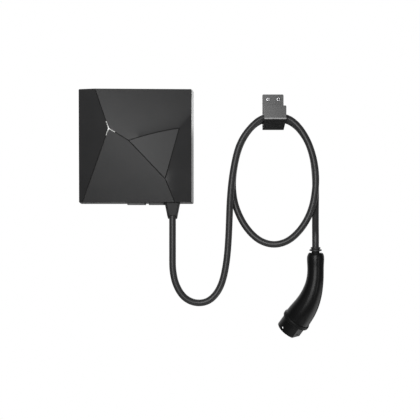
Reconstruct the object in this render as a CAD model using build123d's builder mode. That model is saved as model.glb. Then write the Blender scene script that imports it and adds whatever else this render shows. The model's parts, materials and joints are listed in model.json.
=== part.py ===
"""Wall-mounted vehicle charger: faceted box, tethered cable, wall hook and vehicle connector.

The wall is the XZ plane. X runs to the right, Z up, and depth is counted out of the wall along -Y.
The origin is the middle of the box's four wall screws, on the wall. Millimetres.
"""
import math
import os

from build123d import *

os.makedirs("parts", exist_ok=True)

# Box shell
box_width = 280.0
box_draft = 3.58
corner_radius = 3.0
inner_corner_radius = 1.5
cover_wall = 3.0
back_wall = 3.5
seam_depth = 26.0
seal_thickness = 1.2
seal_inset = 0.7
tongue_wall = 2.4
tongue_height = 7.0
lap_clearance = 0.3
depth_limit = 115.0

# Facets of the front: depth on the box's axis, rise to the right and rise upwards, per millimetre
facet_left = (106.7, 0.421, 0.037)
facet_top = (83.7, -0.070, -0.1375)
facet_bottom = (82.9, 0.1085, 0.1575)
facet_right = (97.8, -0.2575, 0.008)
facet_panel = (82.3, -0.0955, -0.0365)
facets = (facet_left, facet_top, facet_bottom, facet_right, facet_panel)
groove_radius = 1.1

# Reader panel, let into the middle facet
panel_thickness = 1.6
panel_clearance = 0.25
panel_bow = 3.0

# Light guide where three facets meet
guide_width = 2.2
guide_length = 18.0
guide_flange = 2.0
guide_back_depth = 71.0
guide_clearance = 0.1

# Wall fixing
wall_hole_spacing = 200.0
wall_hole_radius = 3.25
wall_boss_radius = 9.0
wall_boss_height = 4.5

# Cover screws, two above and two below
cover_screw_inset = 19.0
cover_screw_depth = 32.0
cover_screw_head_radius = 3.6
cover_screw_head_height = 1.7
cover_screw_radius = 2.0
cover_screw_length = 10.0
cover_screw_socket = 1.8
cover_screw_socket_depth = 1.1
counterbore_depth = 2.0
screw_clearance = 0.1
screw_boss_size = 12.0
screw_boss_height = 8.0

# Gland wall: the part of the bottom wall that stays with the rear housing
gland_left = -30.0
gland_right = 112.0
gland_depth = 61.5
gland_clearance = 0.4

# Blind grommets in the gland wall
grommet_depth = 36.0
grommet_drop = 143.0
grommet_size_y = 30.0
grommet_lip = 4.0
grommet_radius = 5.0
grommet_flange_height = 3.0
supply_grommet_x = 2.2
supply_grommet_width = 44.0
supply_grommet_ways = 3
data_grommet_x = 51.2
data_grommet_width = 38.0
data_grommet_ways = 2
membrane_radius = 4.5
membrane_ring = 1.2
membrane_recess = 1.5
grommet_clearance = 0.1

# Charging cable where it leaves the box
cable_diameter = 16.5
cable_x = 89.5
cable_depth = 42.0
cable_start_z = -165.0
cable_tail_z = -104.0
bore_clearance = 0.2

# Strain relief boot
boot_width = 37.5
boot_depth = 36.0
boot_bevel = 5.5
boot_tip_z = -180.5
boot_tip_size = 20.5
boot_tip_bevel = 5.5
boot_cut_z = -173.3
boot_cut_angle = 26.0
boot_neck = 29.0
boot_flange = 35.0
boot_flange_height = 3.5
boot_clearance = 0.1

# Cable clamp inside the box
clamp_z = -117.0
clamp_width = 46.0
clamp_length = 14.0
clamp_gap = 1.0
clamp_bar_height = 13.0
clamp_screw_offset = 17.0
clamp_screw_radius = 2.0
clamp_screw_head_radius = 3.8
clamp_screw_head_height = 2.6
clamp_screw_grip = 8.0

# Boards and what they carry
board_x = -8.0
board_z = 12.0
board_width = 150.0
board_height = 190.0
board_depth = 14.0
board_thickness = 1.6
board_hole_inset = 7.0
board_corner_radius = 3.0
standoff_radius = 4.0
board_screw_radius = 1.5
board_screw_head_radius = 3.0
board_screw_head_height = 2.0
board_screw_grip = 6.0
relay_size = (30.0, 50.0, 28.0)
relay_x = -22.0
relay_z = 30.0
relay_spacing = 38.0
relay_edge = 1.5
terminal_size = (62.0, 22.0, 26.0)
terminal_z = -57.0
supply_terminal_x = -46.0
outlet_terminal_x = 28.0
terminal_ways = 5
terminal_pitch = 11.0
terminal_entry_radius = 3.2
terminal_entry_length = 12.0
terminal_screw_radius = 2.6
terminal_screw_recess = 6.0
sensor_size = (36.0, 36.0, 20.0)
sensor_bore_radius = 9.0
sensor_x = 44.0
sensor_z = 0.0
supply_size = (50.0, 28.0, 24.0)
supply_x = 30.0
supply_z = 86.0
module_size = (62.0, 40.0, 1.6)
module_x = -44.0
module_z = 80.0
module_gap = 8.0
module_can_size = (26.0, 20.0, 3.2)
header_size = (50.0, 5.0)
light_board_radius = 24.0
light_board_depth = 64.0
light_boss_circle = 18.5
light_boss_angles = (180.0, 289.0, 39.0)
led_size = 3.5
led_height = 1.6
led_circle = 10.0
reader_board_size = (56.0, 44.0)
reader_board_x = 52.0
reader_board_z = -6.0
reader_board_depth = 62.0
reader_boss_inset = 5.0
small_board_thickness = 1.2
small_boss_radius = 3.5
small_screw_radius = 1.2
small_screw_head_radius = 2.4
small_screw_head_height = 1.6
small_screw_grip = 5.0

# Wall hook, one folded sheet
hook_left = 310.3
hook_width = 52.5
hook_sheet = 2.0
hook_bend_radius = 1.2
hook_top_z = 131.4
hook_foot_z = 42.2
hook_front_depth = 76.0
hook_front_z = 62.0
hook_lip_z = 94.5
hook_corner_radius = 2.7
hook_screw_x = 337.2
hook_screw_z = 119.0
hook_screw_spacing = 25.7
hook_screw_head_radius = 4.8
hook_screw_head_height = 2.6
hook_screw_radius = 2.5
hook_screw_neck_radius = 2.2
hook_screw_length = 33.0
recess_width = 2.5
recess_length = 6.6
recess_depth = 1.8

# Vehicle connector: turned about the hanging cable so that its nose leans to the wall
connector_turn = 35.0
connector_bend = 37.8
connector_bend_radius = 160.0
connector_straight = 55.9
grommet_length = 13.5
grommet_neck_radius = 9.4
grommet_rings = ((0.4, 3.8, 11.6), (5.6, 3.8, 14.4))
handle_length = 185.6
handle_ovals = (
    (32.0, 30.5),
    (41.6, 39.4),
    (40.2, 38.2),
    (39.6, 37.6),
    (40.6, 38.6),
    (42.6, 40.6),
    (45.8, 43.8),
    (49.4, 47.4),
    (53.2, 51.4),
    (57.0, 55.4),
    (60.4, 59.2),
    (62.9, 62.0),
    (65.0, 64.4),
)
collar_radius = 34.5
collar_length = 12.0
collar_edge = 4.5
nose_radius = 30.6
nose_flat = 24.5
nose_wall = 3.0
nose_tip = 226.0
nose_back = 4.0
mouth_depth = 17.0
nose_clearance = 0.1
lock_hole_radius = 2.4
lock_hole_offset = -6.5
lock_hole_from_tip = 7.0
lock_slot_size = (7.0, 3.6)
lock_slot_offset = -2.5
lock_slot_from_tip = 8.5
contact_places = ((-17.0, 2.0), (0.0, 2.0), (17.0, 2.0), (-9.5, -13.0), (9.5, -13.0))
pilot_places = ((-8.5, 15.0), (8.5, 15.0))
contact_radius = 4.6
contact_bore = 3.1
pilot_radius = 3.0
pilot_bore = 1.6
contact_length = 10.0
contact_set_back = 2.0

# Route of the cable from the boot to the connector: X, depth, Z of each corner
cable_route = [
    (cable_x, cable_depth, cable_start_z),
    (89.5, 42, -300),
    (96.5, 42, -335),
    (114, 42, -365.5),
    (139.5, 42, -380.5),
    (167.5, 42, -380.5),
    (189.5, 42, -367.5),
    (208.5, 42, -338.5),
    (220, 42, -290),
    (226, 42.5, -225),
    (229.5, 43.5, -107),
    (243, 45, -22),
    (258.5, 46, 19),
    (286.5, 46, 54),
    (313, 46, 68),
    (360, 46, 69),
    (389, 47, 55.5),
    (414.5, 49, 18.5),
    (429.5, 51.5, -23),
    (436, 54, -64),
    (435.5, 56, -104),
    (427, 56, -152),
    (408, 53, -192),
    (379.5, 47, -224.5),
    (350.5, 41, -238.5),
    (322, 35.5, -238.5),
    (293, 30, -225),
    (266, 26, -195),
    (247.5, 24, -159),
    (238, 23, -126),
    (235, 22.5, -80),
    (245, 22.5, -20),
    (261, 22.5, 21),
    (286, 22.5, 54),
    (314, 22.5, 66.5),
    (359, 22.5, 67.5),
    (391, 23, 54.5),
    (418, 24, 19.5),
    (432.5, 25.5, -21.5),
    (438, 28.5, -67),
    (438.5, 32, -112),
    (437.5, 36, -150),
    (434, 61, -193),
    (432.9, 72, -220),
    (432.9, 72, -243.5),
]
fillet_share = 0.45

# Values that follow from the driving dimensions
half_width = box_width / 2
lean = math.tan(math.radians(box_draft))
cover_start = seam_depth + seal_thickness
housing_inset = cover_wall + lap_clearance + tongue_wall
cable_radius = cable_diameter / 2
board_hole_spacing = (board_width - 2 * board_hole_inset, board_height - 2 * board_hole_inset)


def out_of_wall(depth):
    """Plane parallel to the wall, at a depth, facing the room."""
    return Plane.XZ.offset(depth)


def facet_plane(facet, inset=0.0):
    """Plane of one facet, facing the room, moved into the box by the inset."""
    depth, across, up = facet
    plane = Plane(origin=(0, -depth, 0), x_dir=(1, -across, 0), z_dir=(-across, -1, -up))
    return plane.offset(-inset)


def side_plane(x, z, inset=0.0):
    """Outside plane of one leaning side wall, named by its direction."""
    reach = half_width - inset
    return Plane(origin=(x * reach, 0, z * reach), z_dir=(x, -lean, z))


def meet(first, second, third):
    """Point where three planes meet."""
    return first.intersect(second).intersect(third)


def body_block(inset, start, end, radius, mode=Mode.ADD):
    """Stretch of the box's leaning square body between two depths."""
    side = 2 * (half_width - inset - start * lean)
    with BuildSketch(out_of_wall(start)) as outline:
        RectangleRounded(side, side, radius)
    extrude(outline.sketch, amount=end - start, taper=box_draft, mode=mode)


def trim_to_facets(inset):
    """Cut the part in hand back to the facets, moved in by the inset."""
    for facet in facets:
        split(bisect_by=facet_plane(facet, inset), keep=Keep.BOTTOM)


def save(part, name):
    """Label a finished piece and write it."""
    part.label = name
    export_step(part, f"parts/{name}.step")


# Corners of the facets
left_plane, top_plane, bottom_plane, right_plane, panel_plane = [facet_plane(f) for f in facets]
upper_wall = side_plane(0, 1)
lower_wall = side_plane(0, -1)
light_corner = meet(left_plane, top_plane, bottom_plane)
panel_left = meet(top_plane, bottom_plane, panel_plane)
panel_right = meet(top_plane, right_plane, panel_plane)
panel_low = meet(bottom_plane, right_plane, panel_plane)
upper_corner = meet(left_plane, top_plane, upper_wall)
lower_corner = meet(left_plane, bottom_plane, lower_wall)
foot_corner = meet(bottom_plane, right_plane, lower_wall)
inner_floor = side_plane(0, -1, housing_inset)

# Bow of the reader panel's upper edge
panel_rise = panel_plane.to_local_coords(panel_right) - panel_plane.to_local_coords(panel_left)
rise_normal = Vector(-panel_rise.Y, panel_rise.X).normalized()
panel_bow_point = panel_plane.from_local_coords(
    (panel_plane.to_local_coords(panel_left) + panel_plane.to_local_coords(panel_right)) / 2
    + rise_normal * panel_bow
)


def panel_outline(growth):
    """Face of the reader panel in its own plane, grown or shrunk all round."""
    with BuildSketch(panel_plane) as outline:
        with BuildLine():
            ThreePointArc(panel_left_local, panel_bow_local, panel_right_local)
            Line(panel_right_local, panel_low_local)
            Line(panel_low_local, panel_left_local)
        make_face()
        offset(amount=growth - groove_radius, kind=Kind.INTERSECTION)
    return outline.sketch


panel_left_local = panel_plane.to_local_coords(panel_left)
panel_right_local = panel_plane.to_local_coords(panel_right)
panel_low_local = panel_plane.to_local_coords(panel_low)
panel_bow_local = panel_plane.to_local_coords(panel_bow_point)


def arm_angle(target):
    """Direction on the wall from the light corner to another corner, in degrees."""
    reach = target - light_corner
    return math.degrees(math.atan2(reach.Z, reach.X))


guide_angles = [arm_angle(corner) for corner in (upper_corner, lower_corner, panel_left)]


def guide_outline(start, margin):
    """Three-armed outline of the light guide, on a plane at a depth."""
    with BuildSketch(out_of_wall(start)) as outline:
        for angle in guide_angles:
            with Locations(Location((light_corner.X, light_corner.Z), angle)):
                Rectangle(
                    guide_length + margin,
                    guide_width + 2 * margin,
                    align=(Align.MIN, Align.CENTER),
                )
        with Locations((light_corner.X, light_corner.Z)):
            Circle(guide_width * 0.7 + margin)
    return outline.sketch


light_boss_places = [
    (
        light_corner.X + light_boss_circle * math.cos(math.radians(angle)),
        light_corner.Z + light_boss_circle * math.sin(math.radians(angle)),
    )
    for angle in light_boss_angles
]
reader_boss_x = reader_board_size[0] / 2 - reader_boss_inset
reader_boss_z = reader_board_size[1] / 2 - reader_boss_inset
reader_boss_places = [
    (reader_board_x + i * reader_boss_x, reader_board_z + k * reader_boss_z)
    for i in (-1, 1)
    for k in (-1, 1)
]
small_boards = (
    (light_board_depth, light_boss_places),
    (reader_board_depth, reader_boss_places),
)
cover_screw_x = half_width - cover_screw_inset
cover_screw_places = [(x, z) for x in (-cover_screw_x, cover_screw_x) for z in (-1, 1)]
screw_seat_z = half_width - cover_screw_depth * lean - counterbore_depth


def screw_seat(x, z):
    """Plane under the head of one cover screw, facing out of the box."""
    return Plane(origin=(x, -cover_screw_depth, z * screw_seat_z), x_dir=(1, 0, 0), z_dir=(0, 0, z))


# Gland wall with its openings, part of the rear housing
with BuildPart() as gland_wall:
    body_block(0, seam_depth, gland_depth, corner_radius)
    body_block(housing_inset, seam_depth, gland_depth, inner_corner_radius, Mode.SUBTRACT)
    split(bisect_by=Plane(origin=(gland_left, 0, 0), z_dir=(1, 0, 0)), keep=Keep.TOP)
    split(bisect_by=Plane(origin=(gland_right, 0, 0), z_dir=(1, 0, 0)), keep=Keep.BOTTOM)
    split(bisect_by=Plane.XY, keep=Keep.BOTTOM)
    trim_to_facets(cover_wall + gland_clearance)

with BuildPart() as gland_notch:
    with BuildSketch(out_of_wall(seam_depth)) as notch_outline:
        with Locations(((gland_left + gland_right) / 2, -half_width)):
            Rectangle(gland_right - gland_left + 2 * gland_clearance, 4 * housing_inset)
    extrude(notch_outline.sketch, amount=gland_depth - seam_depth + gland_clearance)
    trim_to_facets(cover_wall)

# Rear housing: open tray with the tongue that the cover laps over
with BuildPart() as rear_housing:
    body_block(0, 0, seam_depth, corner_radius)
    body_block(cover_wall + lap_clearance, seam_depth, seam_depth + tongue_height, inner_corner_radius)
    body_block(
        housing_inset, back_wall, seam_depth + tongue_height, inner_corner_radius, Mode.SUBTRACT
    )
    add(gland_wall.part)
    with BuildSketch(out_of_wall(back_wall)) as wall_bosses:
        with GridLocations(wall_hole_spacing, wall_hole_spacing, 2, 2):
            Circle(wall_boss_radius)
    extrude(wall_bosses.sketch, amount=wall_boss_height)
    with BuildSketch(out_of_wall(0)) as wall_holes:
        with GridLocations(wall_hole_spacing, wall_hole_spacing, 2, 2):
            Circle(wall_hole_radius)
    extrude(wall_holes.sketch, amount=back_wall + wall_boss_height, mode=Mode.SUBTRACT)
    with BuildSketch(out_of_wall(back_wall)) as standoffs:
        with Locations((board_x, board_z)):
            with GridLocations(*board_hole_spacing, 2, 2):
                Circle(standoff_radius)
                Circle(board_screw_radius, mode=Mode.SUBTRACT)
    extrude(standoffs.sketch, amount=board_depth - back_wall)
    with BuildSketch(out_of_wall(back_wall)) as pedestal:
        with Locations((cable_x, clamp_z)):
            Rectangle(clamp_width, clamp_length)
    extrude(pedestal.sketch, amount=cable_depth - clamp_gap / 2 - back_wall)
    with BuildSketch(Plane(origin=(cable_x, -cable_depth, clamp_z))) as saddle:
        Circle(cable_radius)
    extrude(saddle.sketch, amount=clamp_length, both=True, mode=Mode.SUBTRACT)
    with BuildSketch(out_of_wall(cable_depth)) as clamp_holes:
        with Locations((cable_x, clamp_z)):
            with GridLocations(2 * clamp_screw_offset, 0, 2, 1):
                Circle(clamp_screw_radius)
    extrude(clamp_holes.sketch, amount=-(clamp_screw_grip + clamp_gap), mode=Mode.SUBTRACT)
    for x, z in cover_screw_places:
        boss_top = half_width - cover_screw_depth * lean - housing_inset
        with BuildSketch(out_of_wall(back_wall)) as boss_outline:
            with Locations((x, z * (boss_top - screw_boss_height / 2 + tongue_wall / 2))):
                Rectangle(screw_boss_size, screw_boss_height + tongue_wall)
        extrude(boss_outline.sketch, amount=seam_depth + tongue_height - back_wall)
    for x, z in cover_screw_places:
        with BuildSketch(screw_seat(x, z)) as pilot_hole:
            Circle(cover_screw_radius)
        extrude(pilot_hole.sketch, amount=-cover_screw_length, mode=Mode.SUBTRACT)
    for x, width in (
        (supply_grommet_x, supply_grommet_width),
        (data_grommet_x, data_grommet_width),
    ):
        with BuildSketch(Plane.XY.offset(-half_width - grommet_lip)) as entry:
            with Locations((x, -grommet_depth)):
                RectangleRounded(
                    width - 2 * grommet_lip, grommet_size_y - 2 * grommet_lip, grommet_radius
                )
        extrude(entry.sketch, amount=4 * grommet_lip, mode=Mode.SUBTRACT)
    with BuildSketch(Plane.XY.offset(-half_width - grommet_lip)) as boot_entry:
        with Locations((cable_x, -cable_depth)):
            RectangleRounded(boot_neck, boot_neck, boot_bevel)
    extrude(boot_entry.sketch, amount=4 * grommet_lip, mode=Mode.SUBTRACT)
save(rear_housing.part, "rear_housing")

# Seal between the housing and the cover
with BuildPart() as cover_seal:
    body_block(seal_inset, seam_depth, cover_start, corner_radius)
    body_block(cover_wall, seam_depth, cover_start, inner_corner_radius, Mode.SUBTRACT)
    add(gland_notch.part, mode=Mode.SUBTRACT)
save(cover_seal.part, "cover_seal")

# Front cover: leaning walls under five facets, hollow, with grooves along the facet edges
with BuildPart() as cover_hollow:
    body_block(cover_wall, cover_start, depth_limit, inner_corner_radius)
    trim_to_facets(cover_wall)

with BuildPart() as cover_bosses:
    for boss_depth, places in small_boards:
        with BuildSketch(out_of_wall(boss_depth + small_board_thickness)) as small_bosses:
            with Locations(*places):
                Circle(small_boss_radius)
        extrude(small_bosses.sketch, amount=depth_limit - boss_depth)
    trim_to_facets(cover_wall / 2)

with BuildPart() as front_cover:
    body_block(0, cover_start, depth_limit, corner_radius)
    trim_to_facets(0)
    add(cover_hollow.part, mode=Mode.SUBTRACT)
    add(cover_bosses.part)
    add(gland_notch.part, mode=Mode.SUBTRACT)
    for start, end in (
        (upper_corner, light_corner),
        (light_corner, lower_corner),
        (light_corner, panel_left),
        (panel_left, panel_low),
        (panel_low, panel_right),
        (panel_low, foot_corner),
    ):
        with BuildSketch(Plane(start, z_dir=end - start)) as groove_section:
            Circle(groove_radius)
        extrude(groove_section.sketch, amount=(end - start).length, mode=Mode.SUBTRACT)
    with BuildLine() as bow_line:
        ThreePointArc(panel_left, panel_bow_point, panel_right)
    with BuildSketch(Plane(panel_left, z_dir=bow_line.line % 0)) as bow_section:
        Circle(groove_radius)
    sweep(bow_section.sketch, path=bow_line.line, mode=Mode.SUBTRACT)
    with Locations(light_corner, panel_left, panel_right, panel_low):
        Sphere(groove_radius, mode=Mode.SUBTRACT)
    extrude(panel_outline(panel_clearance), amount=-panel_thickness, mode=Mode.SUBTRACT)
    extrude(
        guide_outline(guide_back_depth, guide_clearance),
        amount=depth_limit - guide_back_depth,
        mode=Mode.SUBTRACT,
    )
    for boss_depth, places in small_boards:
        with BuildSketch(out_of_wall(boss_depth)) as small_pilots:
            with Locations(*places):
                Circle(small_screw_radius)
        extrude(
            small_pilots.sketch,
            amount=small_board_thickness + small_screw_grip,
            mode=Mode.SUBTRACT,
        )
    for x, z in cover_screw_places:
        with BuildSketch(screw_seat(x, z)) as seat_bore:
            Circle(cover_screw_head_radius + screw_clearance)
        extrude(seat_bore.sketch, amount=2 * counterbore_depth, mode=Mode.SUBTRACT)
        with BuildSketch(screw_seat(x, z)) as shank_bore:
            Circle(cover_screw_radius + screw_clearance)
        extrude(shank_bore.sketch, amount=-cover_wall, mode=Mode.SUBTRACT)
save(front_cover.part, "front_cover")

# Reader panel in its pocket
with BuildPart() as reader_panel:
    extrude(panel_outline(0), amount=-panel_thickness)
save(reader_panel.part, "reader_panel")

# Light guide, flush with the three facets that it joins, with a flange behind them
with BuildPart() as guide_foot:
    extrude(
        guide_outline(guide_back_depth, guide_flange),
        amount=depth_limit - guide_back_depth,
    )
    trim_to_facets(cover_wall)

with BuildPart() as light_guide:
    extrude(guide_outline(guide_back_depth, 0), amount=depth_limit - guide_back_depth)
    trim_to_facets(0)
    add(guide_foot.part)
save(light_guide.part, "light_guide")

# Cover screws
with BuildPart() as cover_screws:
    for x, z in cover_screw_places:
        with BuildSketch(screw_seat(x, z)) as head:
            Circle(cover_screw_head_radius)
        extrude(head.sketch, amount=cover_screw_head_height)
        with BuildSketch(screw_seat(x, z).offset(cover_screw_head_height)) as socket:
            RegularPolygon(cover_screw_socket, 6)
        extrude(socket.sketch, amount=-cover_screw_socket_depth, mode=Mode.SUBTRACT)
        with BuildSketch(screw_seat(x, z)) as shank:
            Circle(cover_screw_radius)
        extrude(shank.sketch, amount=-cover_screw_length)
save(cover_screws.part, "cover_screws")

# Boards behind the light guide and the reader panel, and their screws
with BuildPart() as light_board:
    with BuildSketch(out_of_wall(light_board_depth)) as light_board_outline:
        with Locations((light_corner.X, light_corner.Z)):
            Circle(light_board_radius)
        with Locations(*light_boss_places):
            Circle(small_screw_radius + screw_clearance, mode=Mode.SUBTRACT)
    extrude(light_board_outline.sketch, amount=small_board_thickness)
    with BuildSketch(out_of_wall(light_board_depth + small_board_thickness)) as leds:
        for angle in guide_angles:
            with Locations(Location((light_corner.X, light_corner.Z), angle)):
                with Locations((led_circle, 0)):
                    Rectangle(led_size, led_size)
    extrude(leds.sketch, amount=led_height)
save(light_board.part, "light_board")

with BuildPart() as reader_board:
    with BuildSketch(out_of_wall(reader_board_depth)) as reader_board_outline:
        with Locations((reader_board_x, reader_board_z)):
            RectangleRounded(*reader_board_size, board_corner_radius)
        with Locations(*reader_boss_places):
            Circle(small_screw_radius + screw_clearance, mode=Mode.SUBTRACT)
    extrude(reader_board_outline.sketch, amount=small_board_thickness)
save(reader_board.part, "reader_board")

with BuildPart() as small_screws:
    for seat_depth, places in small_boards:
        with BuildSketch(out_of_wall(seat_depth)) as small_heads:
            with Locations(*places):
                Circle(small_screw_head_radius)
        extrude(small_heads.sketch, amount=-small_screw_head_height)
        with BuildSketch(out_of_wall(seat_depth)) as small_shanks:
            with Locations(*places):
                Circle(small_screw_radius)
        extrude(small_shanks.sketch, amount=small_board_thickness + small_screw_grip)
save(small_screws.part, "small_board_screws")

# Main board on its standoffs, and its screws
board_face = board_depth + board_thickness
with BuildPart() as main_board:
    with BuildSketch(out_of_wall(board_depth)) as board_outline:
        with Locations((board_x, board_z)):
            RectangleRounded(board_width, board_height, board_corner_radius)
            with GridLocations(*board_hole_spacing, 2, 2):
                Circle(board_screw_radius + screw_clearance, mode=Mode.SUBTRACT)
    extrude(board_outline.sketch, amount=board_thickness)
save(main_board.part, "main_board")

with BuildPart() as board_screws:
    with BuildSketch(out_of_wall(board_face)) as board_heads:
        with Locations((board_x, board_z)):
            with GridLocations(*board_hole_spacing, 2, 2):
                Circle(board_screw_head_radius)
    extrude(board_heads.sketch, amount=board_screw_head_height)
    with BuildSketch(out_of_wall(board_face)) as board_shanks:
        with Locations((board_x, board_z)):
            with GridLocations(*board_hole_spacing, 2, 2):
                Circle(board_screw_radius)
    extrude(board_shanks.sketch, amount=-board_thickness - board_screw_grip)
save(board_screws.part, "board_screws")

# Parts on the main board
with BuildPart() as power_relays:
    with BuildSketch(out_of_wall(board_face)) as relay_outline:
        with Locations((relay_x, relay_z)):
            with GridLocations(relay_spacing, 0, 2, 1):
                RectangleRounded(relay_size[0], relay_size[1], relay_edge)
    extrude(relay_outline.sketch, amount=relay_size[2])
    chamfer(power_relays.faces().group_by(Axis.Y)[0].edges(), relay_edge / 2)
save(power_relays.part, "power_relays")

for terminal_name, terminal_x in (
    ("supply_terminal", supply_terminal_x),
    ("outlet_terminal", outlet_terminal_x),
):
    with BuildPart() as terminal:
        with BuildSketch(out_of_wall(board_face)) as terminal_outline:
            with Locations((terminal_x, terminal_z)):
                Rectangle(terminal_size[0], terminal_size[1])
        extrude(terminal_outline.sketch, amount=terminal_size[2])
        chamfer(terminal.faces().sort_by(Axis.Y)[0].edges().filter_by(Axis.X), terminal_size[1] / 6)
        with BuildSketch(Plane.XY.offset(terminal_z - terminal_size[1] / 2)) as wire_entries:
            with Locations((terminal_x, -(board_face + terminal_size[2] / 3))):
                with GridLocations(terminal_pitch, 0, terminal_ways, 1):
                    Circle(terminal_entry_radius)
        extrude(wire_entries.sketch, amount=terminal_entry_length, mode=Mode.SUBTRACT)
        with BuildSketch(out_of_wall(board_face + terminal_size[2])) as screw_wells:
            with Locations((terminal_x, terminal_z)):
                with GridLocations(terminal_pitch, 0, terminal_ways, 1):
                    Circle(terminal_screw_radius)
        extrude(screw_wells.sketch, amount=-terminal_screw_recess, mode=Mode.SUBTRACT)
    save(terminal.part, terminal_name)

with BuildPart() as current_sensor:
    with BuildSketch(out_of_wall(board_face)) as sensor_outline:
        with Locations((sensor_x, sensor_z)):
            RectangleRounded(sensor_size[0], sensor_size[1], sensor_size[0] / 4)
            Circle(sensor_bore_radius, mode=Mode.SUBTRACT)
    extrude(sensor_outline.sketch, amount=sensor_size[2])
save(current_sensor.part, "current_sensor")

with BuildPart() as power_supply:
    with BuildSketch(out_of_wall(board_face)) as supply_outline:
        with Locations((supply_x, supply_z)):
            RectangleRounded(supply_size[0], supply_size[1], relay_edge)
    extrude(supply_outline.sketch, amount=supply_size[2])
save(power_supply.part, "power_supply")

with BuildPart() as control_module:
    with BuildSketch(out_of_wall(board_face)) as header_outline:
        with Locations((module_x, module_z - module_size[1] / 2 + header_size[1])):
            Rectangle(*header_size)
    extrude(header_outline.sketch, amount=module_gap)
    with BuildSketch(out_of_wall(board_face + module_gap)) as module_outline:
        with Locations((module_x, module_z)):
            Rectangle(module_size[0], module_size[1])
    extrude(module_outline.sketch, amount=module_size[2])
    with BuildSketch(out_of_wall(board_face + module_gap + module_size[2])) as can_outline:
        with Locations((module_x, module_z)):
            Rectangle(module_can_size[0], module_can_size[1])
    extrude(can_outline.sketch, amount=module_can_size[2])
save(control_module.part, "control_module")

# Blind grommets, clipped through the gland wall
for grommet_name, grommet_x, grommet_width, membranes in (
    ("supply_grommet", supply_grommet_x, supply_grommet_width, supply_grommet_ways),
    ("data_grommet", data_grommet_x, data_grommet_width, data_grommet_ways),
):
    neck_size = (
        grommet_width - 2 * grommet_lip - 2 * grommet_clearance,
        grommet_size_y - 2 * grommet_lip - 2 * grommet_clearance,
    )
    with BuildPart() as grommet_cap:
        with BuildSketch(Plane.XY.offset(-grommet_drop)) as lip_outline:
            with Locations((grommet_x, -grommet_depth)):
                RectangleRounded(grommet_width, grommet_size_y, grommet_radius)
        extrude(lip_outline.sketch, amount=grommet_drop - half_width + 2 * grommet_lip)
        split(bisect_by=lower_wall, keep=Keep.TOP)
        with BuildSketch(Plane.XY.offset(-grommet_drop)) as membrane_rings:
            with Locations((grommet_x, -grommet_depth)):
                with GridLocations(2 * membrane_radius + membrane_ring, 0, membranes, 1):
                    Circle(membrane_radius)
                    Circle(membrane_radius - membrane_ring, mode=Mode.SUBTRACT)
        extrude(membrane_rings.sketch, amount=membrane_recess, mode=Mode.SUBTRACT)
    with BuildPart() as grommet_flange:
        flange_top = -half_width + housing_inset + grommet_depth * lean + grommet_flange_height
        with BuildSketch(Plane.XY.offset(flange_top)) as flange_outline:
            with Locations((grommet_x, -grommet_depth)):
                RectangleRounded(
                    grommet_width - grommet_lip, grommet_size_y - grommet_lip, grommet_radius
                )
        extrude(flange_outline.sketch, amount=-2 * grommet_flange_height)
        split(bisect_by=inner_floor, keep=Keep.BOTTOM)
    with BuildPart() as grommet:
        add(grommet_cap.part)
        add(grommet_flange.part)
        with BuildSketch(Plane.XY.offset(-grommet_drop + membrane_recess)) as neck_outline:
            with Locations((grommet_x, -grommet_depth)):
                RectangleRounded(*neck_size, grommet_radius)
        extrude(neck_outline.sketch, amount=flange_top + grommet_drop - membrane_recess)
    save(grommet.part, grommet_name)

# Strain relief boot: bevelled taper, slanted mouth, neck and flange through the gland wall
with BuildPart() as boot_body:
    with BuildSketch(Plane.XY.offset(-half_width + boot_flange_height)) as boot_root:
        with Locations((cable_x, -cable_depth)):
            Rectangle(boot_width, boot_depth)
        chamfer(boot_root.vertices(), boot_bevel)
    with BuildSketch(Plane.XY.offset(boot_tip_z)) as boot_end:
        with Locations((cable_x, -cable_depth)):
            Rectangle(boot_tip_size, boot_tip_size)
        chamfer(boot_end.vertices(), boot_tip_bevel)
    loft([boot_root.sketch.face(), boot_end.sketch.face()], ruled=True)
    split(bisect_by=lower_wall, keep=Keep.TOP)
    boot_cut = Plane(
        origin=(cable_x, -cable_depth, boot_cut_z),
        z_dir=(0, -math.sin(math.radians(boot_cut_angle)), -math.cos(math.radians(boot_cut_angle))),
    )
    split(bisect_by=boot_cut, keep=Keep.BOTTOM)

with BuildPart() as boot_inside:
    boot_flange_top = -half_width + housing_inset + cable_depth * lean + boot_flange_height
    with BuildSketch(Plane.XY.offset(boot_flange_top)) as boot_flange_outline:
        with Locations((cable_x, -cable_depth)):
            RectangleRounded(boot_flange, boot_flange, boot_bevel)
    extrude(boot_flange_outline.sketch, amount=-2 * boot_flange_height)
    split(bisect_by=inner_floor, keep=Keep.BOTTOM)

with BuildPart() as strain_relief:
    add(boot_body.part)
    add(boot_inside.part)
    with BuildSketch(Plane.XY.offset(boot_flange_top)) as boot_neck_outline:
        with Locations((cable_x, -cable_depth)):
            RectangleRounded(boot_neck - 2 * boot_clearance, boot_neck - 2 * boot_clearance, boot_bevel)
    extrude(boot_neck_outline.sketch, amount=-half_width - boot_flange_height - boot_flange_top)
    with BuildSketch(Plane.XY.offset(boot_flange_top)) as boot_bore:
        with Locations((cable_x, -cable_depth)):
            Circle(cable_radius + bore_clearance)
    extrude(boot_bore.sketch, amount=boot_tip_z - boot_flange_top, mode=Mode.SUBTRACT)
save(strain_relief.part, "strain_relief")

# Cable tail from the boot into the clamp
with BuildPart() as cable_tail:
    with BuildSketch(Plane.XY.offset(cable_start_z)) as tail_section:
        with Locations((cable_x, -cable_depth)):
            Circle(cable_radius)
    extrude(tail_section.sketch, amount=cable_tail_z - cable_start_z)
save(cable_tail.part, "cable_tail")

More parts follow.
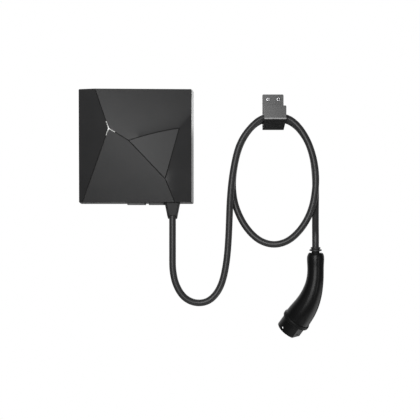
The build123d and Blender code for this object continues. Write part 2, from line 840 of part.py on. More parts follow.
# Clamp bar over the cable, and its screws
clamp_top = cable_depth + clamp_gap / 2 + clamp_bar_height
with BuildPart() as cable_clamp:
    with BuildSketch(out_of_wall(cable_depth + clamp_gap / 2)) as clamp_outline:
        with Locations((cable_x, clamp_z)):
            RectangleRounded(clamp_width, clamp_length, inner_corner_radius)
    extrude(clamp_outline.sketch, amount=clamp_bar_height)
    with BuildSketch(Plane(origin=(cable_x, -cable_depth, clamp_z))) as clamp_saddle:
        Circle(cable_radius)
    extrude(clamp_saddle.sketch, amount=clamp_length, both=True, mode=Mode.SUBTRACT)
    with BuildSketch(out_of_wall(clamp_top)) as clamp_bores:
        with Locations((cable_x, clamp_z)):
            with GridLocations(2 * clamp_screw_offset, 0, 2, 1):
                Circle(clamp_screw_radius + screw_clearance)
    extrude(clamp_bores.sketch, amount=-clamp_bar_height, mode=Mode.SUBTRACT)
save(cable_clamp.part, "cable_clamp")

with BuildPart() as clamp_screws:
    with BuildSketch(out_of_wall(clamp_top)) as clamp_heads:
        with Locations((cable_x, clamp_z)):
            with GridLocations(2 * clamp_screw_offset, 0, 2, 1):
                Circle(clamp_screw_head_radius)
    extrude(clamp_heads.sketch, amount=clamp_screw_head_height)
    with BuildSketch(out_of_wall(clamp_top)) as clamp_shanks:
        with Locations((cable_x, clamp_z)):
            with GridLocations(2 * clamp_screw_offset, 0, 2, 1):
                Circle(clamp_screw_radius)
    extrude(clamp_shanks.sketch, amount=-clamp_bar_height - clamp_gap - clamp_screw_grip / 2)
save(clamp_screws.part, "clamp_screws")

# Charging cable: straight runs joined by tangent arcs
route = [Vector(x, -depth, z) for x, depth, z in cable_route]
radii = []
for before, corner, after in zip(route, route[1:], route[2:]):
    turn = math.radians((corner - before).get_angle(after - corner))
    run = min((corner - before).length, (after - corner).length)
    radii.append(fillet_share * run / math.tan(turn / 2))
with BuildPart() as charging_cable:
    with BuildLine() as cable_line:
        FilletPolyline(*route, radius=radii)
    with BuildSketch(Plane(route[0], z_dir=cable_line.line % 0)) as cable_section:
        Circle(cable_radius)
    sweep(cable_section.sketch, path=cable_line.line)
cable_length = sum(edge.length for edge in cable_line.edges())
print("cable radii", [round(radius) for radius in radii])
print("cable length", round(cable_length, 1))
print("volume over section times length", round(
    charging_cable.part.volume / (math.pi * cable_radius**2 * cable_length), 5))
save(charging_cable.part, "charging_cable")

# Wall hook folded from one sheet
with BuildPart() as hook_bracket:
    with BuildSketch(Plane.YZ.offset(hook_left)) as hook_profile:
        with BuildLine() as hook_line:
            FilletPolyline(
                (0, hook_top_z),
                (0, hook_foot_z),
                (-hook_front_depth, hook_front_z),
                (-hook_front_depth, hook_lip_z),
                radius=hook_bend_radius + hook_sheet,
            )
            offset(amount=hook_sheet, side=Side.RIGHT)
        make_face()
    extrude(hook_profile.sketch, amount=hook_width)
    sheet_corners = hook_bracket.edges().filter_by(Axis.Y).filter_by(
        lambda edge: edge.center().Z > hook_lip_z - 1
    )
    fillet(sheet_corners, hook_corner_radius)
    with BuildSketch(out_of_wall(0)) as hook_holes:
        with Locations((hook_screw_x, hook_screw_z)):
            with GridLocations(hook_screw_spacing, 0, 2, 1):
                Circle(hook_screw_radius + screw_clearance)
    extrude(hook_holes.sketch, amount=hook_sheet, mode=Mode.SUBTRACT)
save(hook_bracket.part, "hook_bracket")

with BuildPart() as hook_screws:
    with BuildSketch(out_of_wall(hook_sheet)) as hook_heads:
        with Locations((hook_screw_x, hook_screw_z)):
            with GridLocations(hook_screw_spacing, 0, 2, 1):
                Circle(hook_screw_head_radius)
    extrude(hook_heads.sketch, amount=hook_screw_head_height)
    fillet(hook_screws.edges().group_by(Axis.Y)[0], hook_screw_head_height / 2)
    with BuildSketch(out_of_wall(hook_sheet + hook_screw_head_height)) as cross_recess:
        with Locations((hook_screw_x, hook_screw_z)):
            with GridLocations(hook_screw_spacing, 0, 2, 1):
                Rectangle(recess_length, recess_width)
                Rectangle(recess_width, recess_length)
    extrude(cross_recess.sketch, amount=-recess_depth, mode=Mode.SUBTRACT)
    with BuildSketch(out_of_wall(hook_sheet)) as hook_necks:
        with Locations((hook_screw_x, hook_screw_z)):
            with GridLocations(hook_screw_spacing, 0, 2, 1):
                Circle(hook_screw_neck_radius)
    extrude(hook_necks.sketch, amount=-hook_sheet)
    with BuildSketch(out_of_wall(0)) as hook_threads:
        with Locations((hook_screw_x, hook_screw_z)):
            with GridLocations(hook_screw_spacing, 0, 2, 1):
                Circle(hook_screw_radius)
    extrude(hook_threads.sketch, amount=-hook_screw_length)
save(hook_screws.part, "hook_screws")

# Middle line of the connector, in a plane turned about the hanging cable
turn_cos = math.cos(math.radians(connector_turn))
turn_sin = math.sin(math.radians(connector_turn))
swing = Vector(-turn_cos, turn_sin, 0)
across = Vector(turn_sin, turn_cos, 0)
connector_plane = Plane(origin=route[-1], x_dir=swing, z_dir=across)
arc_length = connector_bend_radius * math.radians(connector_bend)
nose_straight = nose_tip - connector_straight - arc_length
with BuildLine(connector_plane) as spine:
    drop = Line((0, 0), (0, -connector_straight))
    curve = JernArc(drop @ 1, drop % 1, connector_bend_radius, connector_bend)
    Line(curve @ 1, curve @ 1 + (curve % 1) * nose_straight)
spine_wire = spine.wires()[0]


def spine_plane(distance):
    """Plane across the connector's middle line; local Y points to its outer side."""
    share = distance / nose_tip
    return Plane(origin=spine_wire @ share, x_dir=across, z_dir=spine_wire % share)


def nose_outline(distance, inset):
    """Round outline with one flat, across the connector's middle line."""
    radius = nose_radius - inset
    with BuildSketch(spine_plane(distance)) as outline:
        Circle(radius)
        with Locations((0, nose_flat - inset)):
            Rectangle(2 * radius, 2 * radius, align=(Align.CENTER, Align.MIN), mode=Mode.SUBTRACT)
    return outline.sketch


# Ribbed cable grommet at the top of the handle
with BuildPart() as cable_grommet:
    with BuildSketch(spine_plane(0)) as grommet_neck:
        Circle(grommet_neck_radius)
    extrude(grommet_neck.sketch, amount=grommet_length)
    for ring_start, ring_length, ring_radius in grommet_rings:
        with BuildSketch(spine_plane(ring_start)) as ring_outline:
            Circle(ring_radius)
        extrude(ring_outline.sketch, amount=ring_length)
save(cable_grommet.part, "cable_grommet")

# Handle: oval sections along the bent middle line
with BuildPart() as connector_handle:
    handle_faces = []
    oval_step = (handle_length - grommet_length) / (len(handle_ovals) - 1)
    for place, (height, thickness) in enumerate(handle_ovals):
        with BuildSketch(spine_plane(grommet_length + place * oval_step)) as oval:
            Ellipse(thickness / 2, height / 2)
        handle_faces.append(oval.sketch.face())
    loft(handle_faces)
save(connector_handle.part, "connector_handle")

# Nose: shroud with one flat, open at the tip
carrier_start = handle_length + nose_back
carrier_length = nose_tip - mouth_depth - carrier_start
with BuildPart() as connector_nose:
    extrude(nose_outline(handle_length, 0), amount=nose_tip - handle_length)
    extrude(nose_outline(carrier_start, nose_wall), amount=nose_tip - carrier_start, mode=Mode.SUBTRACT)
    hole_plane = spine_plane(nose_tip - lock_hole_from_tip)
    with BuildSketch(Plane(hole_plane.origin, x_dir=hole_plane.y_dir, z_dir=-across)) as lock_hole:
        with Locations((lock_hole_offset, 0)):
            Circle(lock_hole_radius)
    extrude(lock_hole.sketch, amount=nose_radius, mode=Mode.SUBTRACT)
    slot_plane = spine_plane(nose_tip - lock_slot_from_tip)
    with BuildSketch(Plane(slot_plane.origin, x_dir=across, z_dir=slot_plane.y_dir)) as lock_slot:
        with Locations((lock_slot_offset, 0)):
            Rectangle(*lock_slot_size)
    extrude(lock_slot.sketch, amount=nose_radius, mode=Mode.SUBTRACT)
save(connector_nose.part, "connector_nose")

# Collar round the root of the nose
with BuildPart() as connector_collar:
    with BuildSketch(spine_plane(handle_length)) as collar_outline:
        Circle(collar_radius)
    extrude(collar_outline.sketch, amount=collar_length)
    fillet(connector_collar.edges().filter_by(GeomType.CIRCLE), collar_edge)
    extrude(nose_outline(handle_length, -nose_clearance), amount=collar_length, mode=Mode.SUBTRACT)
save(connector_collar.part, "connector_collar")

# Contact carrier and the sleeves in it
with BuildPart() as contact_carrier:
    extrude(nose_outline(carrier_start, nose_wall + nose_clearance), amount=carrier_length)
    with BuildSketch(spine_plane(carrier_start + carrier_length)) as contact_holes:
        with Locations(*contact_places):
            Circle(contact_radius)
        with Locations(*pilot_places):
            Circle(pilot_radius)
    extrude(contact_holes.sketch, amount=-contact_length - contact_set_back, mode=Mode.SUBTRACT)
save(contact_carrier.part, "contact_carrier")

contact_plane_at = carrier_start + carrier_length - contact_set_back
for contact_name, places, outer, bore in (
    ("power_contacts", contact_places, contact_radius, contact_bore),
    ("pilot_contacts", pilot_places, pilot_radius, pilot_bore),
):
    with BuildPart() as contacts:
        with BuildSketch(spine_plane(contact_plane_at)) as sleeves:
            with Locations(*places):
                Circle(outer)
                Circle(bore, mode=Mode.SUBTRACT)
        extrude(sleeves.sketch, amount=-contact_length)
    save(contacts.part, contact_name)
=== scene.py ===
# %% [markdown]
# A wall charger for electric cars: a faceted charcoal box, its cable hung in a loop over a sheet hook,
# and the curved connector at the end. The solids arrive at their real size, in metres, with the wall as the
# plane Y = 0 and the room on the -Y side. Everything below dresses them and never moves them.

# %% Load the solids
import json
import math
import bpy
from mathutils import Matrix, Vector


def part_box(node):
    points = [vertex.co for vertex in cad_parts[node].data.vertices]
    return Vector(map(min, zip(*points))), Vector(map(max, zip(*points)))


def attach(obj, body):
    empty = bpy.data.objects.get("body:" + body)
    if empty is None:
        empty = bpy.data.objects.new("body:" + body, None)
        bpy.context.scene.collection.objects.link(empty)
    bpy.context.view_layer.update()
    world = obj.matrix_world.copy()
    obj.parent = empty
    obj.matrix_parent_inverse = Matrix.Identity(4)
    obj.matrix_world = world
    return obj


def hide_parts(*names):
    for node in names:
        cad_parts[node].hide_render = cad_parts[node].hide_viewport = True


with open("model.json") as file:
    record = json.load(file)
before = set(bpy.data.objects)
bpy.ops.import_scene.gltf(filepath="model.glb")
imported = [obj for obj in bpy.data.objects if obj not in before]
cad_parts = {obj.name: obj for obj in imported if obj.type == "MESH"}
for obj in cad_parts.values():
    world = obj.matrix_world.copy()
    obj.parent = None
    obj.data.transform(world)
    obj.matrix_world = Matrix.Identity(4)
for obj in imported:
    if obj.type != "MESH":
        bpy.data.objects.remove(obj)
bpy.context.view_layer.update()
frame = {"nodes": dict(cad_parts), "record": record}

nodes = frame["nodes"]
MM = 0.001

# %% [markdown]
# The camera. The charger was pictured straight on, from about two metres, at about the height of its
# middle. A long lens at that distance gives the same narrow view of the box's side walls. The picture is
# square, so the sensor's width alone sets the angle.

# %% Camera
CAMERA_PLACE = Vector((0.1805, -1.985, -0.155))
PICTURE_WIDTH = 420
FOCAL_PIXELS = 800
SENSOR_WIDTH_MM = 36.0

camera_data = bpy.data.cameras.new("straight_on")
camera_data.sensor_width = SENSOR_WIDTH_MM
camera_data.lens = SENSOR_WIDTH_MM * FOCAL_PIXELS / PICTURE_WIDTH
camera = bpy.data.objects.new("straight_on", camera_data)
camera.location = CAMERA_PLACE
camera.rotation_euler = (math.radians(90), 0, 0)
bpy.context.scene.collection.objects.link(camera)
bpy.context.scene.camera = camera
bpy.context.scene.view_settings.view_transform = "Standard"
print("lens", round(camera_data.lens, 2), "mm")

# %% [markdown]
# The cable. A real one is a fixed length of stiff jacket that falls straight from the boot, turns up in a
# wide U, goes twice over the hook and hangs down to the connector. A smooth spline led by points bends as
# such a cable does, where a chain of straight runs and arcs would look like bent wire. Each point is its
# place to the right, its depth in front of the wall and its height.

# %% Cable route
CABLE_DIAMETER = 16.5 * MM
CABLE_ROUTE_MM = [
    (89.5, 42, -165),
    (89.5, 42, -264),
    (89.5, 42, -300),
    (96.5, 42, -335),
    (114, 42, -365.5),
    (139.5, 42, -380.5),
    (167.5, 42, -380.5),
    (189.5, 42, -367.5),
    (208.5, 42, -338.5),
    (220, 42, -290),
    (226, 42.5, -225),
    (229.5, 43.5, -107),
    (243, 45, -22),
    (258.5, 46, 19),
    (286.5, 46, 54),
    (313, 46, 71.5),
    (360, 46, 72.5),
    (389, 47, 55.5),
    (414.5, 49, 18.5),
    (429.5, 51.5, -23),
    (436, 54, -64),
    (435.5, 56, -104),
    (427, 56, -152),
    (408, 53, -192),
    (379.5, 47, -224.5),
    (350.5, 41, -238.5),
    (322, 35.5, -238.5),
    (293, 30, -225),
    (266, 26, -195),
    (247.5, 24, -159),
    (238, 23, -126),
    (235, 22.5, -80),
    (245, 22.5, -20),
    (261, 22.5, 21),
    (286, 22.5, 54),
    (314, 22.5, 68.5),
    (359, 22.5, 69.5),
    (391, 23, 54.5),
    (418, 24, 19.5),
    (432.5, 25.5, -21.5),
    (438, 28.5, -67),
    (438.5, 32, -112),
    (437.5, 36, -150),
    (434, 61, -193),
    (432.9, 72, -220),
    (432.9, 72, -243.5),
]
cable_points = [Vector((x, -depth, z)) * MM for x, depth, z in CABLE_ROUTE_MM]
print("route points", len(cable_points))

# %% [markdown]
# The jacket. The tube could be a mesh swept along the route, but a curve with a round bevel is smooth and
# can still be bent by its points. The bevel is 1 deep and each point carries the cable's radius, which keeps
# the box that Blender measures round the curve true to size.

# %% Cable jacket
SPLINE_ORDER = 3
STEPS_BETWEEN_POINTS = 10
BEVEL_STEPS = 7

jacket = bpy.data.curves.new("cable_jacket", "CURVE")
jacket.dimensions = "3D"
jacket_line = jacket.splines.new("NURBS")
jacket_line.points.add(len(cable_points) - 1)
for spline_point, place in zip(jacket_line.points, cable_points):
    spline_point.co = (*place, 1.0)
    spline_point.radius = CABLE_DIAMETER / 2
jacket_line.order_u = SPLINE_ORDER
jacket_line.use_endpoint_u = True
jacket.resolution_u = STEPS_BETWEEN_POINTS
jacket.bevel_depth = 1.0
jacket.bevel_resolution = BEVEL_STEPS
jacket.use_fill_caps = True
cable = bpy.data.objects.new("cable_jacket", jacket)
bpy.context.scene.collection.objects.link(cable)
print("jacket", round(CABLE_DIAMETER / MM, 1), "mm across")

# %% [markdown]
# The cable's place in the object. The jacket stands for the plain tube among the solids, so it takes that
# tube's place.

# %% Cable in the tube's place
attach(cable, "root")
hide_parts("charging_cable")

# %% [markdown]
# Building finishes from nodes. Each finish below is a small graph, and writing out every node and link by
# hand would bury what it does. Three helpers make a node and fill its inputs in one line: an input is linked
# where it is given another node's output, and set where it is given a plain value.

# %% Node helpers
NUMBER_RESULTS = ("DOT_PRODUCT", "DISTANCE", "LENGTH")


def add_node(tree, kind, inputs, **settings):
    """New node with its settings made first, then each input linked to an output or set to a value."""
    node = tree.nodes.new(kind)
    for name, value in settings.items():
        setattr(node, name, value)
    for key, value in inputs.items():
        if isinstance(value, bpy.types.NodeSocket):
            tree.links.new(value, node.inputs[key])
        else:
            node.inputs[key].default_value = value
    return node


def number_math(tree, operation, *inputs):
    """Output of a math node."""
    return add_node(tree, "ShaderNodeMath", dict(enumerate(inputs)), operation=operation).outputs["Value"]


def vector_math(tree, operation, *inputs):
    """Output of a vector math node: a number where the operation gives one, or else a vector."""
    node = add_node(tree, "ShaderNodeVectorMath", dict(enumerate(inputs)), operation=operation)
    return node.outputs["Value" if operation in NUMBER_RESULTS else "Vector"]


# %% [markdown]
# Nooks. In the cover's grooves, on the boot and at the foot of the screw heads hardly any light comes back,
# and what does is dull. Lamps alone leave such narrow places too bright here, so shade is painted there: the
# finish asks how open the surface is within a few millimetres, and turns dark and dull where it is closed
# in.

# %% Painted shade in nooks
NOOK_SAMPLES = 8
NOOK_CLOSED = 0.78
NOOK_OPEN = 0.97
PAINTED_NOOK_SHADE = (0.006, 0.006, 0.006, 1)
NOOK_ROUGHNESS = 0.75


def paint_shade_in_nooks(tree, colour, roughness, reach_mm):
    """Colour with painted shade and roughness that turn dark and dull where other surfaces are within reach.
    """
    nook = add_node(tree, "ShaderNodeAmbientOcclusion", {"Distance": reach_mm * MM}, samples=NOOK_SAMPLES)
    openness = add_node(tree, "ShaderNodeMapRange", {
        "Value": nook.outputs["AO"], "From Min": NOOK_CLOSED, "From Max": NOOK_OPEN,
    }).outputs["Result"]
    shade = add_node(
        tree, "ShaderNodeMix", {"Factor": openness, "A": PAINTED_NOOK_SHADE, "B": colour}, data_type="RGBA"
    )
    dullness = add_node(tree, "ShaderNodeMix", {"Factor": openness, "A": NOOK_ROUGHNESS, "B": roughness})
    return shade.outputs["Result"], dullness.outputs["Result"]


# %% [markdown]
# Grain. Almost everything here is moulded plastic or rubber, and what tells one from another is its gloss
# and its grain. Pictures of the surfaces could be laid on, but they would stretch over the facets. Noise
# fits any shape, so one helper builds a shader from a colour, a roughness and the size of the grain, with
# the colour and the roughness varying a little so that no surface is dead flat.

# %% Grained finishes
CLOUD_MM = 40
CLOUD_DETAIL = 4
CLOUD_DARK_END = 0.3
CLOUD_PALE_END = 0.7
ROUGHNESS_SPREAD = 0.08
GRAIN_DETAIL = 2


def grained_finish(
    name, colour, roughness, grain_mm, relief_mm, specular=0.5, metallic=0.0, mottle=0.06, nook_shade_mm=0.0
):
    """Material with a fine relief and a slow variation of colour and roughness, and, where asked, painted
    shade in nooks.
    """
    material = bpy.data.materials.new(name)
    material.use_nodes = True
    tree = material.node_tree
    shader = tree.nodes["Principled BSDF"]
    shader.inputs["Metallic"].default_value = metallic
    shader.inputs["Specular IOR Level"].default_value = specular
    place = tree.nodes.new("ShaderNodeTexCoord").outputs["Object"]

    cloud = add_node(tree, "ShaderNodeTexNoise", {
        "Vector": place, "Scale": 1 / (CLOUD_MM * MM), "Detail": CLOUD_DETAIL,
    }).outputs["Fac"]
    tint = add_node(tree, "ShaderNodeValToRGB", {"Fac": cloud})
    dark_end, pale_end = tint.color_ramp.elements
    dark_end.position = CLOUD_DARK_END
    pale_end.position = CLOUD_PALE_END
    dark_end.color = (*[c * (1 - mottle) for c in colour], 1)
    pale_end.color = (*[c * (1 + mottle) for c in colour], 1)
    wear = add_node(tree, "ShaderNodeMapRange", {
        "Value": cloud,
        "To Min": roughness * (1 - ROUGHNESS_SPREAD),
        "To Max": roughness * (1 + ROUGHNESS_SPREAD),
    })
    surface_colour = tint.outputs["Color"]
    surface_roughness = wear.outputs["Result"]
    # painted shade where the surface is closed in
    if nook_shade_mm:
        surface_colour, surface_roughness = paint_shade_in_nooks(tree, surface_colour, surface_roughness, nook_shade_mm)
    tree.links.new(surface_colour, shader.inputs["Base Color"])
    tree.links.new(surface_roughness, shader.inputs["Roughness"])

    grain = add_node(tree, "ShaderNodeTexNoise", {
        "Vector": place, "Scale": 1 / (grain_mm * MM), "Detail": GRAIN_DETAIL,
    })
    bump = add_node(tree, "ShaderNodeBump", {
        "Height": grain.outputs["Fac"], "Distance": relief_mm * MM, "Strength": 1.0,
    })
    tree.links.new(bump.outputs["Normal"], shader.inputs["Normal"])
    return material


# %% [markdown]
# The box. Its cover is a satin charcoal moulding, with an inlay a shade paler and a housing a shade darker.
# One finish could serve all three, but then only the gaps would part them. Their colours and gloss differ
# only a little, and the angles of the facets to the lamps do the rest. The light guide is milky plastic.

# %% Finishes of the box
finishes = {
    # the cover carries painted shade in its grooves
    "cover": grained_finish(
        "charcoal_satin", (0.0235, 0.0235, 0.024), roughness=0.33, grain_mm=0.5, relief_mm=0.001,
        specular=0.187, nook_shade_mm=2.4,
    ),
    "panel": grained_finish(
        "charcoal_smooth", (0.025, 0.025, 0.0255), roughness=0.36, grain_mm=0.5, relief_mm=0.001,
        specular=0.2,
    ),
    "housing": grained_finish(
        "black_grained", (0.022, 0.022, 0.0225), roughness=0.36, grain_mm=0.5, relief_mm=0.001,
        specular=0.25,
    ),
    "seal": grained_finish(
        "black_seal", (0.010, 0.010, 0.010), roughness=0.7, grain_mm=0.8, relief_mm=0.004, specular=0.2,
    ),
    "light": grained_finish(
        "milky_light", (0.38, 0.38, 0.37), roughness=0.3, grain_mm=1.0, relief_mm=0.002, mottle=0.02,
    ),
}
print("finishes of the box", len(finishes))

# %% [markdown]
# The cable and what holds it. The jacket is smooth and waxy, the boot under the box a little duller, with
# painted shade in its nooks, and the two small entries beside it are a paler rubber. The hook is a painted
# sheet:
# its paint is dark, and its plate looks pale because it mirrors the large lamp, which is why its gloss is
# the strongest here. Its screws are plated, with painted shade at the foot of their heads.

# %% Finishes of the cable and the hook
finishes.update({
    # the boot carries painted shade in its nooks
    "boot": grained_finish(
        "black_boot", (0.027, 0.027, 0.0275), roughness=0.4, grain_mm=0.6, relief_mm=0.001,
        specular=0.2, nook_shade_mm=3.0,
    ),
    "cable": grained_finish(
        "black_jacket", (0.030, 0.030, 0.0305), roughness=0.30, grain_mm=0.7, relief_mm=0.001,
        specular=0.21,
    ),
    "grommet": grained_finish(
        "grey_grommet", (0.085, 0.085, 0.086), roughness=0.6, grain_mm=0.8, relief_mm=0.002, specular=0.2,
    ),
    "hook": grained_finish(
        "grey_powder_paint", (0.009, 0.009, 0.0093), roughness=0.36, grain_mm=0.6, relief_mm=0.0006,
        specular=0.78,
    ),
    # the screws carry painted shade at the foot of their heads
    "fastener": grained_finish(
        "zinc", (0.56, 0.56, 0.57), roughness=0.35, grain_mm=0.8, relief_mm=0.001,
        metallic=1.0, nook_shade_mm=6.0,
    ),
})
print("finishes so far", len(finishes))

# %% [markdown]
# The connector. Handle and nose are the blackest plastic, with a gloss that draws a line of light down the
# handle. The collar between them is the same black but duller, so that it shows as a band. Inside the nose
# sit a dull carrier and plated contacts.

# %% Finishes of the connector
finishes.update({
    "grip": grained_finish(
        "black_grip", (0.0065, 0.0065, 0.0067), roughness=0.30, grain_mm=0.5, relief_mm=0.0006,
        specular=0.16,
    ),
    "collar": grained_finish(
        "black_collar", (0.0065, 0.0065, 0.0067), roughness=0.48, grain_mm=0.5, relief_mm=0.0006,
        specular=0.12,
    ),
    "carrier": grained_finish(
        "black_carrier", (0.010, 0.010, 0.010), roughness=0.5, grain_mm=0.6, relief_mm=0.003,
    ),
    "contact": grained_finish(
        "plated_contact", (0.72, 0.68, 0.55), roughness=0.25, grain_mm=0.8, relief_mm=0.002, metallic=1.0,
    ),
})
print("finishes so far", len(finishes))

# %% [markdown]
# Inside the box. No picture shows it, so these finishes are the usual ones: moulded components, grey
# terminals and the green solder mask of a circuit board.

# %% Finishes inside the box
finishes.update({
    "component": grained_finish(
        "moulded_component", (0.03, 0.03, 0.033), roughness=0.5, grain_mm=1.0, relief_mm=0.005,
    ),
    "terminal": grained_finish(
        "grey_terminal", (0.40, 0.41, 0.40), roughness=0.5, grain_mm=1.0, relief_mm=0.005,
    ),
    "board": grained_finish(
        "solder_mask", (0.02, 0.13, 0.055), roughness=0.35, grain_mm=2.0, relief_mm=0.01,
    ),
})
print("finishes in all", len(finishes))

# %% [markdown]
# Two finishes change over the piece itself, both by painted light. The light guide has a painted glow,
# brightest where its lamp sits, at the meeting of the arms, and dimming towards their tips. On the hook, a
# pale line along the tight outer bend is a painted highlight. Both are a distance from a line, one that runs
# into the wall and one that runs along the bend, so one helper mixes a second colour in by that distance.

# %% Painted highlight and glow by distance
SIDE_VIEW = (0, 1, 1)
FRONT_VIEW = (1, 0, 1)


def tint_by_distance(material, centre, axes, near_mm, far_mm, near_colour):
    """Mix a second colour into a finish, full within one distance of a place and gone past another."""
    tree = material.node_tree
    shader = tree.nodes["Principled BSDF"]
    plain_colour = shader.inputs["Base Color"].links[0].from_socket
    place = tree.nodes.new("ShaderNodeTexCoord").outputs["Object"]
    from_centre = vector_math(tree, "SUBTRACT", place, centre)
    distance = vector_math(tree, "LENGTH", vector_math(tree, "MULTIPLY", from_centre, axes))
    nearness = add_node(tree, "ShaderNodeMapRange", {
        "Value": distance, "From Min": far_mm * MM, "From Max": near_mm * MM,
    }).outputs["Result"]
    blend = add_node(
        tree, "ShaderNodeMix", {"Factor": nearness, "A": plain_colour, "B": (*near_colour, 1)},
        data_type="RGBA",
    )
    tree.links.new(blend.outputs["Result"], shader.inputs["Base Color"])


HOOK_BEND_HEIGHT = 63.4 * MM
PAINTED_BEND_HIGHLIGHT = (0.30, 0.30, 0.30)
GUIDE_MEETING = (-60.9 * MM, 0, 39.6 * MM)
PAINTED_GUIDE_GLOW = (0.86, 0.86, 0.85)

hook_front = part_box("hook_bracket")[0][1]
hook_bend = (0, hook_front, HOOK_BEND_HEIGHT)
# painted highlight along the hook's outer bend
tint_by_distance(finishes["hook"], hook_bend, SIDE_VIEW, near_mm=1, far_mm=2, near_colour=PAINTED_BEND_HIGHLIGHT)
# painted glow where the light guide's arms meet
tint_by_distance(finishes["light"], GUIDE_MEETING, FRONT_VIEW, near_mm=2, far_mm=6, near_colour=PAINTED_GUIDE_GLOW)
print("hook front at", round(hook_front, 4))

# %% [markdown]
# The cover's facets are not dead flat on the real one. The mould dishes them a little: the top facet
# sweeps up to the inlay's upper edge, the surface sinks round the inlay's low corner, and the crease that
# runs from its right corner to the wall is soft. Modelling this would mean curved facets, for a tilt of a
# few degrees at most, spread over a finger's width. A wide shallow relief in the finish carries it.

# %% Relief along a line
def distance_to_line(tree, from_start, run):
    """Distance to a line with this run, from a place that is measured from the line's start."""
    along = vector_math(tree, "DOT_PRODUCT", from_start, run / run.length_squared)
    within = add_node(tree, "ShaderNodeClamp", {"Value": along}).outputs["Result"]
    nearest = vector_math(tree, "MULTIPLY", run, within)
    return vector_math(tree, "DISTANCE", from_start, nearest)


def dish_facets(material, swells):
    """Wide shallow relief: each swell has a line seen from the front, a height, a width that it fades over
    and, where it is one-sided, the direction that it lies in."""
    tree = material.node_tree
    place = tree.nodes.new("ShaderNodeTexCoord").outputs["Object"]
    height_so_far = 0
    for start, end, height_mm, width_mm, side in swells:
        start = Vector((start[0], 0, start[1])) * MM
        run = Vector((end[0], 0, end[1])) * MM - start
        from_start = vector_math(tree, "MULTIPLY_ADD", place, FRONT_VIEW, -start)
        distance = distance_to_line(tree, from_start, run)
        widths_away = number_math(tree, "MULTIPLY", distance, -1 / (width_mm * MM))
        swell = number_math(tree, "EXPONENT", widths_away)
        if side:
            sideways = vector_math(tree, "DOT_PRODUCT", from_start, (side[0], 0, side[1]))
            on_side = number_math(tree, "GREATER_THAN", sideways, 0)
            swell = number_math(tree, "MULTIPLY", on_side, swell)
        height_so_far = number_math(tree, "MULTIPLY_ADD", swell, height_mm * MM, height_so_far)
    dish = add_node(tree, "ShaderNodeBump", {"Height": height_so_far, "Distance": 1.0})
    grain = tree.nodes["Principled BSDF"].inputs["Normal"].links[0].from_node
    tree.links.new(dish.outputs["Normal"], grain.inputs["Normal"])


# %% [markdown]
# Where the facets are dished. The places are millimetres to the right of the box's middle and above it, as
# seen from the front. A positive height swells towards the room and a negative one sinks. The two at the
# inlay's low corner lie on its right only, so that they leave the facet on its left as it is.

# %% Dished facets
INLAY_EDGE_START = (14.0, 18.5)
INLAY_RIGHT = (106.9, 40.9)
INLAY_LOW = (73.6, -80.4)
INLAY_SIDE = (79.0, -62.0)
FOOT_SIDE = (83.5, -104.7)
RIGHT_OF_FOOT = (0.926, 0.378)
CREASE_END = (140.0, 83.5)
cover_swells = [
    (INLAY_EDGE_START, INLAY_RIGHT, 1.2, 11, None),
    (INLAY_LOW, INLAY_SIDE, -2.2, 18, RIGHT_OF_FOOT),
    (INLAY_LOW, FOOT_SIDE, -2.0, 18, RIGHT_OF_FOOT),
    (INLAY_RIGHT, CREASE_END, -0.8, 10, None),
]
dish_facets(finishes["cover"], cover_swells)
print("swells on the cover", len(cover_swells))

# %% [markdown]
# Dressing. The record names a slot for each solid, and the finish of that slot goes on the whole of it.
# Three solids differ from their slot: the two small entries under the box are paler than the other seals,
# and the connector's collar is duller than its grip.

# %% Dress the solids
finish_of_node = {entry["node"]: entry["material_slot"] for entry in frame["record"]["subparts"]}
finish_of_node["supply_grommet"] = "grommet"
finish_of_node["data_grommet"] = "grommet"
finish_of_node["connector_collar"] = "collar"
for name, solid in nodes.items():
    solid.data.materials.clear()
    solid.data.materials.append(finishes[finish_of_node[name]])
jacket.materials.append(finishes["cable"])
print("dressed", len(nodes), "solids")

# %% [markdown]
# The floor. The charger hangs at its usual height, so the floor lies well below the picture. A pale plane
# is enough: it sends a little light up and takes the object's shadow.

# %% Floor
FLOOR_DROP = 1.35
FLOOR_SIZE = 2.2
bpy.ops.mesh.primitive_plane_add(size=FLOOR_SIZE, location=(CAMERA_PLACE.x, 0, -FLOOR_DROP))
floor = bpy.context.object
floor.name = "studio_floor"
floor_finish = grained_finish(
    "pale_floor", (0.8, 0.8, 0.8), roughness=0.7, grain_mm=8.0, relief_mm=0.02, mottle=0.01
)
floor.data.materials.append(floor_finish)
print("floor at", -FLOOR_DROP)

# %% [markdown]
# The surround. The white round the charger is the world itself. To the camera it is white all over. To
# every other ray it is white behind the object and dim in front of it and below, as in a studio with a lit
# backdrop. A world that is white all round would be simpler, but every dark facet would mirror it and turn
# paler, and the hook's underside most of all.

# %% World
BACKDROP_LEVEL = 1.0
STUDIO_LEVEL = 0.015
BACKDROP_STARTS = 0.1
BACKDROP_FULL = 0.75
FOOT_DIM = -0.32
FOOT_FULL = -0.02

world = bpy.data.worlds.new("studio")
bpy.context.scene.world = world
world.use_nodes = True
sky = world.node_tree
direction = sky.nodes.new("ShaderNodeTexCoord").outputs["Generated"]
towards = add_node(sky, "ShaderNodeSeparateXYZ", {"Vector": direction})
backdrop_foot = add_node(sky, "ShaderNodeMapRange", {
    "Value": towards.outputs["Z"], "From Min": FOOT_DIM, "From Max": FOOT_FULL,
}, interpolation_type="SMOOTHSTEP").outputs["Result"]
behind = number_math(sky, "MULTIPLY", towards.outputs["Y"], backdrop_foot)
level = add_node(sky, "ShaderNodeMapRange", {
    "Value": behind, "From Min": BACKDROP_STARTS, "From Max": BACKDROP_FULL,
    "To Min": STUDIO_LEVEL, "To Max": BACKDROP_LEVEL,
}, interpolation_type="SMOOTHSTEP").outputs["Result"]
ray = sky.nodes.new("ShaderNodeLightPath")
seen_level = add_node(sky, "ShaderNodeMix", {
    "Factor": ray.outputs["Is Camera Ray"], "A": level, "B": BACKDROP_LEVEL,
})
background = sky.nodes["Background"]
background.inputs["Color"].default_value = (1, 1, 1, 1)
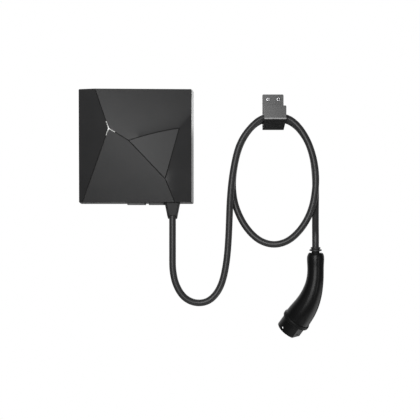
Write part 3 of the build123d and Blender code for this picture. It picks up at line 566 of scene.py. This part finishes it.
sky.links.new(seen_level.outputs["Result"], background.inputs["Strength"])
print("world levels", STUDIO_LEVEL, BACKDROP_LEVEL)

# %% [markdown]
# The lamps. A large softbox behind the camera and to its left is the key: each facet mirrors more or less of
# it, and that is most of what parts them. Bare points of light would leave hard spots on satin plastic, so
# every lamp is a rectangle. Three smaller ones serve the connector: a strip on its right, a low lamp for its
# right side and one behind and below for the flat on its nose, the last two kept within a cone. The others
# lift the left facet, the faces that look up, and the back.

# %% Lamps
def softbox(name, place, aim, width, height, power, spread=180):
    """Rectangular area lamp that looks at a point, with its light kept within a cone of so many degrees."""
    data = bpy.data.lights.new(name, "AREA")
    data.shape = "RECTANGLE"
    data.size = width
    data.size_y = height
    data.energy = power
    data.spread = math.radians(spread)
    lamp = bpy.data.objects.new(name, data)
    lamp.location = place
    lamp.rotation_euler = (Vector(aim) - Vector(place)).to_track_quat("-Z", "Y").to_euler()
    bpy.context.scene.collection.objects.link(lamp)


OBJECT_MIDDLE = (0.15, -0.04, -0.12)
HANDLE_MIDDLE = (0.42, -0.06, -0.32)
HANDLE_FOOT = (0.40, -0.06, -0.40)
NOSE_FLAT = (0.39, -0.05, -0.42)
softbox("key_softbox", (-0.30, -2.5, 0.18), OBJECT_MIDDLE, width=1.25, height=1.75, power=60)
softbox("right_strip", (0.95, -1.05, -0.30), HANDLE_MIDDLE, width=0.12, height=0.9, power=1.2)
softbox("low_side", (1.18, -0.04, -0.90), HANDLE_FOOT, width=1.0, height=0.8, power=1.5, spread=90)
softbox("nose_light", (0.88, 0.47, -0.99), NOSE_FLAT, width=0.55, height=0.55, power=0.11, spread=80)
softbox("left_fill", (-1.50, -1.40, 0.45), OBJECT_MIDDLE, width=0.9, height=0.9, power=1.6)
softbox("overhead", (0.25, -0.55, 1.50), OBJECT_MIDDLE, width=1.2, height=0.8, power=4)
softbox("rear_fill", (0.2, 2.0, 0.9), OBJECT_MIDDLE, width=1.4, height=1.4, power=12)
print("lamps", len(bpy.data.lights))
